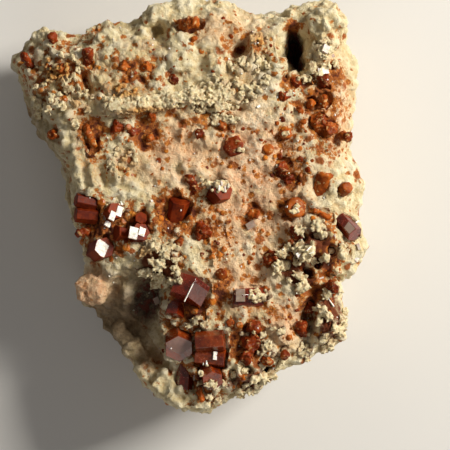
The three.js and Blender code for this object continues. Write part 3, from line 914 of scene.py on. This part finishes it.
def sculpt(piece):
    """Presses the rock's relief in, and keeps where each kind of surface lies for its finish."""
    mesh = piece.data
    coarse = [field for field in CRUST_FIELDS if field[4] >= COARSE_STAR]
    fields = {"crust": coarse, "peach": PEACH_FIELDS, "ochre": OCHRE_FIELDS, "stain": STAIN_FIELDS}
    layers = {name: [] for name in [*fields, "flank", "relief", "hollow"]}
    moved = []
    for vertex in mesh.vertices:
        x, y = plan_of(vertex.co)
        point = vertex.co / MM
        on_face = ramp(vertex.co.z, FACE_FROM, FACE_FULL)
        # How dark the rock is painted as shade in the hollows, by their depth.
        hollow = 0.0
        depth = 0.0
        for middle, half, turn, deepest in HOLLOWS:
            strength = field_strength(x, y, middle, half, turn, 1.0) * on_face
            hollow = max(hollow, strength * min(1.0, deepest / DARKEST_DEPTH))
            depth = max(depth, strength * deepest)
        on_back = ramp(vertex.co.z, 0.05 * MM, 0.8 * MM)
        smooth = strongest(PEACH_FIELDS, x, y)
        height = face_relief(point, smooth) * on_face + side_relief(point) * (1 - on_face)
        push = vertex.normal * ((height - 0.25) * MM * on_back) - Vector((0, 0, depth * MM))
        moved.append(vertex.co + push)
        for name, field in fields.items():
            layers[name].append(strongest(field, x, y) * on_face)
        layers["flank"].append(max(strongest(FLANK_BROWN_AND_SHADE_FIELDS, x, y), 0.35 * (1 - on_face)))
        layers["relief"].append(0.5 + 0.5 * height)
        layers["hollow"].append(hollow)
    for vertex, place in zip(mesh.vertices, moved):
        place.z = min(max(0.0, place.z), TOP)
        vertex.co = place
    keep_layers(mesh, layers)
    mesh.shade_smooth()
    mesh.update()


def make_rock():
    solid = merged_copy("matrix")
    tree = BVHTree.FromBMesh(solid)
    solid.free()
    piece = rock_clay(tree)
    sculpt(piece)
    thin_sides(piece)
    piece.data.shade_smooth()
    piece.data.materials.append(rock_finish())
    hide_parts("matrix")
    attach(piece, "root")
    return piece


# ---- the crystals ----


def bevelled(whole, width, segments=2):
    """Joins flat faces that were cut in triangles, and rounds the edges between the others."""
    bmesh.ops.recalc_face_normals(whole, faces=whole.faces)
    bmesh.ops.dissolve_limit(whole, angle_limit=math.radians(2), verts=whole.verts, edges=whole.edges)
    sharp = [edge for edge in whole.edges if edge.is_manifold and edge.calc_face_angle() > math.radians(20)]
    bmesh.ops.bevel(
        whole,
        geom=sharp,
        offset=width,
        offset_type="OFFSET",
        affect="EDGES",
        segments=segments,
        profile=0.5,
        material=-1,
        clamp_overlap=True,
    )


def weathered(piece, strength):
    """Rounds a crystal off, pits its faces and dulls its edges."""
    mesh = reskinned(piece, WEATHER_VOXEL)
    moved = []
    for vertex in mesh.vertices:
        point = vertex.co / MM
        swell = noise.fractal(point * 0.9, 1.0, 2.2, 3) * 0.3 + noise.fractal(point * 3.0, 0.8, 2.2, 3) * 0.13
        moved.append(vertex.co + vertex.normal * (swell - 0.06) * strength * MM)
    for vertex, place in zip(mesh.vertices, moved):
        vertex.co = place
    mesh.shade_smooth()


def level_faces(whole, normal):
    """The faces that look the same way as the normal."""
    return [face for face in whole.faces if face.normal.dot(normal) > 0.99]


def with_edges(faces):
    """The faces, their edges and their corners, each once and always in the same order."""
    return list(dict.fromkeys(item for face in faces for item in (face, *face.edges, *face.verts)))


# Painted sheen: the outlined part of the face takes a finish whose colour stands for a reflection or glint.
def paint_sheen_on_face(whole, outline, slot):
    """Cuts the outline in the crystal's upper face and gives what lies inside it that material slot.

    The cutting is done at a thousand times the size, because the cutter passes over very short edges.
    """
    bmesh.ops.scale(whole, vec=(1 / MM, 1 / MM, 1 / MM), verts=whole.verts)
    corners = [plan(*corner) / MM for corner in outline]
    middle = sum(corners, Vector()) / len(corners) + Vector((0, 0, PLUMB_HEIGHT / MM))
    tree = BVHTree.FromBMesh(whole)
    hit = tree.ray_cast(middle, DOWN)
    whole.faces.ensure_lookup_table()
    normal = whole.faces[hit[2]].normal.copy()
    for corner, following in zip(corners, corners[1:] + corners[:1]):
        parts = with_edges(level_faces(whole, normal))
        along = following - corner
        bmesh.ops.bisect_plane(whole, geom=parts, plane_co=corner, plane_no=(along.y, -along.x, 0))
    for face in level_faces(whole, normal):
        if inside_outline(face.calc_center_median(), corners):
            face.material_index = slot
    bmesh.ops.scale(whole, vec=(MM, MM, MM), verts=whole.verts)


def inside_outline(point, corners):
    """Whether a point lies inside a convex outline in plan."""
    sides = []
    for corner, following in zip(corners, corners[1:] + corners[:1]):
        along = following - corner
        across = point - corner
        sides.append(along.x * across.y - along.y * across.x > 0)
    return all(sides) or not any(sides)


def crystal_kind(name, index):
    """Which finish a crystal wears."""
    if name in DULL:
        return "dull"
    if name in DARK:
        return "umber"
    if name in CLEAN:
        return "deep" if index % 3 else "brown"
    return "rusty"


def make_crystals(finishes):
    for index, node in enumerate(sorted(frame["nodes"])):
        if node == "matrix":
            continue
        name = node.replace("crystal_", "")
        whole = merged_copy(node)
        bmesh.ops.recalc_face_normals(whole, faces=whole.faces)
        clean = name in CLEAN
        bevelled(whole, CRYSTAL_EDGE if clean else WORN_EDGE)
        # Faces listed for a painted sheen, reflection or glint get their own material slots.
        outlines = [(kind, outline) for sheen_crystal, kind, outline in SHEEN_PAINTED if sheen_crystal == name]
        kinds = sorted({kind for kind, outline in outlines})
        for kind, outline in outlines:
            paint_sheen_on_face(whole, outline, 1 + kinds.index(kind))
        piece = new_piece(f"grown_{name}", finished_mesh(node, whole))
        if not clean:
            weathered(piece, GENTLE_WEAR if name in GENTLE else 1.0)
        piece.data.materials.append(finishes[crystal_kind(name, index)])
        for kind in kinds:
            piece.data.materials.append(finishes[kind])
        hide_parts(node)
        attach(piece, "root")


def plate_place(point, normal, turn, size):
    """Where a plate lies: flat to the normal, its long side turned from +Y as seen from above."""
    angle = math.radians(turn)
    along = Vector((-math.sin(angle), math.cos(angle), 0))
    along.z = -(normal.x * along.x + normal.y * along.y) / normal.z
    along.normalize()
    across = along.cross(normal)
    frame_of_plate = Matrix((across, along, normal)).transposed().to_4x4()
    return Matrix.Translation(point) @ frame_of_plate @ size


def make_plates(tree, finishes):
    """Small bright crystal plates that catch the key light."""
    draw = random.Random(8)
    block = bmesh.new()
    bmesh.ops.create_cube(block, size=2.0)
    plate = finished_mesh("plate", block)
    bright = []
    dim = []
    sparks = []
    for _ in range(SPARKS):
        middle = (draw.uniform(-17.0, 19.0), draw.uniform(-22.0, 22.0))
        half = (draw.uniform(0.05, 0.09), draw.uniform(0.05, 0.11))
        sparks.append((middle, half, draw.uniform(0, 90), 0.09))
    for (x, y), (wide, tall), turn, lean in [*PLATES, *sparks]:
        point = drop_on(tree, x, y)[0]
        if point is None or point.z < 12 * MM:
            continue
        wobble = Vector((draw.uniform(-lean, lean), draw.uniform(-lean, lean), 0))
        normal = (GLINT_NORMAL + wobble).normalized()
        size = Matrix.Diagonal((wide * MM, tall * MM, PLATE_DEPTH, 1))
        kind = bright if lean < 0.1 else dim
        kind.append((plate, plate_place(point, normal, turn, size)))
    # Both plate finishes carry a painted glint in their pale colour as well as mirroring the key light.
    for name, placed, finish in (("bright_plates", bright, finishes[0]), ("dim_plates", dim, finishes[1])):
        piece = new_piece(name, gathered(name, placed))
        piece.data.materials.append(finish)
        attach(piece, "root")


def make_sheen_topped_ends(tree, body, film):
    """Level-topped crystal ends, each standing just over the highest point below it."""
    block = bmesh.new()
    bmesh.ops.create_cube(block, size=2.0)
    # The top faces take the second slot, a painted pale grey reflection.
    for face in block.faces:
        face.material_index = 1 if face.normal.z > 0.5 else 0
    end = finished_mesh("end", block)
    placed = []
    for (x, y), (wide, tall), turn in SHEEN_TOPPED_ENDS:
        corners = [(x + wide * across, y + tall * along) for across in (-1, 0, 1) for along in (-1, 0, 1)]
        level = max(drop_on(tree, *corner)[0].z for corner in corners)
        point = plan(x, y)
        point.z = level - 0.3 * MM
        size = Matrix.Diagonal((wide * MM, tall * MM, END_DEPTH, 1))
        normal = Vector((0.06, -0.04, 1.0)).normalized()
        placed.append((end, plate_place(point, normal, turn, size)))
    piece = new_piece("filmed_ends", gathered("filmed ends", placed))
    piece.data.materials.append(body)
    piece.data.materials.append(film)
    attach(piece, "root")


# ---- small crystals and grains ----


def small_prism(name, radius, length, edge):
    """A six-sided crystal with rounded edges, upright on its middle."""
    whole = bmesh.new()
    bmesh.ops.create_cone(
        whole, cap_ends=True, segments=6, radius1=radius, radius2=radius, depth=length
    )
    bevelled(whole, edge, 1)
    return finished_mesh(name, whole)


def leaning(normal, lean, draw):
    """An upright axis leaned at random about the surface's normal, with a random turn."""
    sideways = Vector((draw.uniform(-1, 1), draw.uniform(-1, 1), draw.uniform(-0.3, 0.3)))
    axis = (normal + sideways * lean).normalized()
    turn = Matrix.Rotation(draw.uniform(0, math.tau), 4, "Z")
    return axis.to_track_quat("Z", "Y").to_matrix().to_4x4() @ turn


def make_small_crystals(tree, finishes):
    draw = random.Random(21)
    stub = small_prism("stub", 1.0, 1.5, 0.3)
    placed = [[] for _ in finishes]
    for middle, half, count, small, large in SMALL_FIELDS:
        for _ in range(count):
            hit, normal = drop_on(tree, *place_in(draw, middle, half))
            radius = (small + (large - small) * draw.random() ** 2) * MM
            if hit is None or hit.z < 7 * MM:
                continue
            seat = hit - normal * radius * draw.uniform(0.35, 0.8)
            matrix = Matrix.Translation(seat) @ leaning(normal, 0.7, draw) @ Matrix.Scale(radius, 4)
            placed[draw.choices(range(len(finishes)), SMALL_SHARES)[0]].append((stub, matrix))
    for index, (finish, copies) in enumerate(zip(finishes, placed)):
        piece = new_piece(f"small_crystals_{index + 1}", gathered("small crystals", copies))
        piece.data.materials.append(finish)
        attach(piece, "root")


def star(tree, x, y, size, draw, core, petal):
    """A blunt star of crust: one round core and petals that point up and outwards."""
    hit, normal = drop_on(tree, x, y)
    if hit is None or hit.z < 11 * MM or normal.z < 0.3:
        return []
    size = size * draw.uniform(0.7, 1.3) * MM
    middle = hit + normal * size * 0.5
    squash = Matrix.Diagonal((size, size * draw.uniform(0.7, 1.0), size * draw.uniform(0.7, 1.0), 1))
    parts = [(core, Matrix.Translation(middle) @ leaning(normal, 0.8, draw) @ squash)]
    for _ in range(draw.randint(8, 12)):
        reach = size * draw.uniform(0.9, 1.55)
        width = max(0.085 * MM, size * draw.uniform(0.22, 0.36))
        turn = leaning(normal, 2.2, draw)
        place = Matrix.Translation(middle) @ turn @ Matrix.Translation((0, 0, reach * 0.62))
        parts.append((petal, place @ Matrix.Diagonal((width, width, reach * 0.6, 1))))
    return parts


def crust_places(fields, draw):
    """Places and sizes of the stars that fill each field of crust."""
    for middle, half, turn, thickness, size in fields:
        area = math.pi * half[0] * half[1]
        for _ in range(max(2, int(area * thickness * STARS_PER_AREA / size**2))):
            x, y = place_in(draw, middle, half, turn, 1.08)
            if noise.noise(Vector((x, y, 3.3)) * 0.6) > -0.3 + 0.2 * (1 - thickness):
                yield x, y, size


def ridge_places(draw):
    """Places and sizes of the knobs along the ridge, four abreast."""
    for (x, y), (next_x, next_y) in zip(RIDGE, RIDGE[1:]):
        steps = int(math.hypot(next_x - x, next_y - y) / 0.3)
        for step in range(steps):
            share = step / steps
            for across in (-0.6, -0.2, 0.2, 0.6):
                px = x + (next_x - x) * share + draw.uniform(-0.12, 0.12)
                py = y + (next_y - y) * share + across + draw.uniform(-0.15, 0.15)
                yield px, py, 0.32


def crust_skin(name, placed, usual, tree, finish):
    """The stars joined in one roughened skin, which keeps its height over the rock in usual thicknesses."""
    piece = new_piece(name, gathered(name, placed))
    mesh = reskinned(piece, CRUST_VOXEL)
    layers = {"ochre": [], "relief": [], "height": []}
    moved = []
    for vertex in mesh.vertices:
        x, y = plan_of(vertex.co)
        point = vertex.co / MM
        rough = noise.fractal(point * 2.2, 0.7, 2.2, 3) + 0.5 * noise.noise(point * 5.2)
        moved.append(vertex.co + vertex.normal * rough * 0.1 * MM)
        ground = plumb(tree, vertex.co.x, vertex.co.y)[0]
        layers["height"].append((vertex.co.z - ground.z) / usual if ground else 1.0)
        layers["ochre"].append(strongest(OCHRE_FIELDS, x, y))
        layers["relief"].append(0.5 + 0.5 * rough)
    for vertex, place in zip(mesh.vertices, moved):
        place.z = min(place.z, TOP)
        vertex.co = place
    keep_layers(mesh, layers)
    mesh.shade_smooth()
    piece.data.materials.append(finish)
    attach(piece, "root")


def make_crust(rock_tree, whole_tree, finish):
    draw = random.Random(4)
    core = ball("core", 2)
    petal = ball("petal", 1)
    upper = []
    lower = []
    for x, y, size in [*ridge_places(draw), *crust_places(CRUST_FIELDS, draw)]:
        half = upper if y > 0 else lower
        half += star(rock_tree, x, y, size, draw, core, petal)
    for x, y, size in crust_places(OVERGROWTH, draw):
        half = upper if y > 0 else lower
        half += star(whole_tree, x, y, size, draw, core, petal)
    crust_skin("cream_crust_upper", upper, UPPER_CRUST, rock_tree, finish)
    crust_skin("cream_crust_lower", lower, LOWER_CRUST, rock_tree, finish)


# ---- studio ----

VIEW_MIDDLE = (4.62, -1.98)  # plan millimetres under the middle of the view
VIEW_WIDTH = 54.0 * MM  # width of the view at the height of the crystal face
LENS = 180.0  # millimetres
SENSOR = 36.0  # millimetres
KEY_DIRECTION = Vector((0.751, 0.351, 0.559))  # from the specimen towards the key light


def make_camera():
    data = bpy.data.cameras.new("camera")
    data.lens = LENS
    data.sensor_width = SENSOR
    data.clip_start = 0.005
    camera = bpy.data.objects.new("camera", data)
    distance = VIEW_WIDTH * LENS / SENSOR
    camera.location = plan(*VIEW_MIDDLE) + Vector((0, 0, FACE_HEIGHT + distance))
    bpy.context.scene.collection.objects.link(camera)
    bpy.context.scene.camera = camera


def make_light(name, direction, distance, size, energy, colour):
    data = bpy.data.lights.new(name, "AREA")
    data.size = size
    data.energy = energy
    data.color = colour
    light = bpy.data.objects.new(name, data)
    target = Vector((MIDDLE.x, MIDDLE.y, FACE_HEIGHT))
    light.location = target + direction.normalized() * distance
    light.rotation_euler = direction.to_track_quat("Z", "Y").to_euler()
    bpy.context.scene.collection.objects.link(light)


def make_studio():
    whole = bmesh.new()
    bmesh.ops.create_grid(whole, x_segments=1, y_segments=1, size=0.6)
    floor = new_piece("floor", finished_mesh("floor", whole))
    floor.data.materials.append(floor_finish())
    make_light("key", KEY_DIRECTION, distance=0.36, size=0.11, energy=1.62, colour=(1.0, 0.95, 0.86))
    overhead = Vector((0.1, -0.8, 0.8))
    make_light("overhead", overhead, distance=0.6, size=0.45, energy=0.42, colour=(1.0, 0.95, 0.88))
    world = bpy.data.worlds.new("studio")
    world.use_nodes = True
    background = world.node_tree.nodes["Background"]
    background.inputs["Color"].default_value = (1.0, 0.95, 0.9, 1.0)
    background.inputs["Strength"].default_value = 0.11
    bpy.context.scene.world = world
    bpy.context.scene.view_settings.view_transform = "Standard"


# ---- assembly ----


def tree_of(pieces):
    """A tree of the pieces' meshes, for plumb lines."""
    shape = bmesh.new()
    for piece in pieces:
        shape.from_mesh(piece.data)
    tree = BVHTree.FromBMesh(shape)
    shape.free()
    return tree


def main():
    make_camera()
    make_studio()
    rock = make_rock()
    finishes = {kind: crystal_finish(*values) for kind, values in CRYSTAL_FINISHES.items()}
    make_crystals(finishes)
    rock_tree = tree_of([rock])
    crystals = [piece for piece in bpy.data.objects if piece.name.startswith("grown_")]
    whole_tree = tree_of([rock, *crystals])
    make_small_crystals(rock_tree, [finishes[kind] for kind in ("umber", "orange", "rusty")])
    make_sheen_topped_ends(whole_tree, finishes["brown"], finishes["pale"])
    make_crust(rock_tree, whole_tree, crust_finish())
    crust = [piece for piece in bpy.data.objects if piece.name.startswith("cream_crust_")]
    make_plates(tree_of([rock, *crystals, *crust]), [finishes["silver"], finishes["dim_silver"]])


main()
